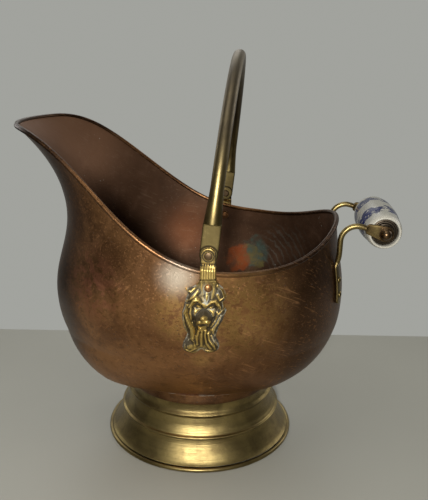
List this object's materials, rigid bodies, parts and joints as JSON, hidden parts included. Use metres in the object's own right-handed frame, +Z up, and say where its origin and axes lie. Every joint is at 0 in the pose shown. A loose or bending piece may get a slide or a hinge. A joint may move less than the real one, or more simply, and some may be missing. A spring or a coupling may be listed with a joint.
{
  "type": "coal scuttle",
  "caption": "Helmet-shaped copper coal scuttle on a spun brass foot, with a swinging bail, cast lion masks and a porcelain grip that turns behind the bowl.",
  "frame": {"origin": "middle of the foot on the floor", "axes": "+Z up, -X towards the spout, +X towards the rear handle; the near side is -Y"},
  "size_m": [0.3494, 0.257, 0.3674],
  "materials": {
    "copper_sheet": "old polished copper, browned, with fine scratches",
    "copper_rivet": "copper, worn bright on the heads",
    "solder": "dull ragged soft solder",
    "spun_brass": "spun brass with fine turning lines, tarnished",
    "cast_brass": "cast brass, bright on the relief and dark in the hollows",
    "dark_brass": "drawn brass, tarnished brown",
    "porcelain": "white glaze with a cobalt blue garland"
  },
  "bodies": {
    "root": {"bowl": "copper_sheet", "rim_bead": "copper_sheet", "solder_fillet": "solder", "copper_collar": "copper_sheet", "foot": "spun_brass", "foot_roll": "dark_brass", "lion_mask_near": "cast_brass", "lion_mask_far": "cast_brass", "pivot_rivet_near": "dark_brass", "pivot_rivet_far": "dark_brass", "pivot_washer_near": "spun_brass", "pivot_washer_far": "spun_brass", "mask_rivet_near": "copper_rivet", "mask_rivet_far": "copper_rivet", "mask_burr_near": "copper_rivet", "mask_burr_far": "copper_rivet", "handle_arm_near": "dark_brass", "handle_arm_far": "dark_brass", "arm_rivet_upper_near": "dark_brass", "arm_rivet_upper_far": "dark_brass", "arm_rivet_lower_near": "dark_brass", "arm_rivet_lower_far": "dark_brass", "arm_burr_upper_near": "copper_rivet", "arm_burr_upper_far": "copper_rivet", "arm_burr_lower_near": "copper_rivet", "arm_burr_lower_far": "copper_rivet", "grip_rod": "spun_brass", "end_cap_near": "dark_brass", "end_cap_far": "dark_brass", "dome_nut_near": "dark_brass", "dome_nut_far": "dark_brass"},
    "bail": {"bail": "dark_brass"},
    "grip": {"porcelain_grip": "porcelain"}
  },
  "joints": [
    {"name": "bail_swing", "type": "hinge", "parent": "root", "child": "bail", "pos_m": [0.0155, 0, 0.215], "axis": [0, 1, 0], "range_deg": [-74, 73]},
    {"name": "grip_spin", "type": "hinge", "parent": "root", "child": "grip", "pos_m": [0.1628, 0, 0.2164], "axis": [0, 1, 0], "continuous": true}
  ]
}
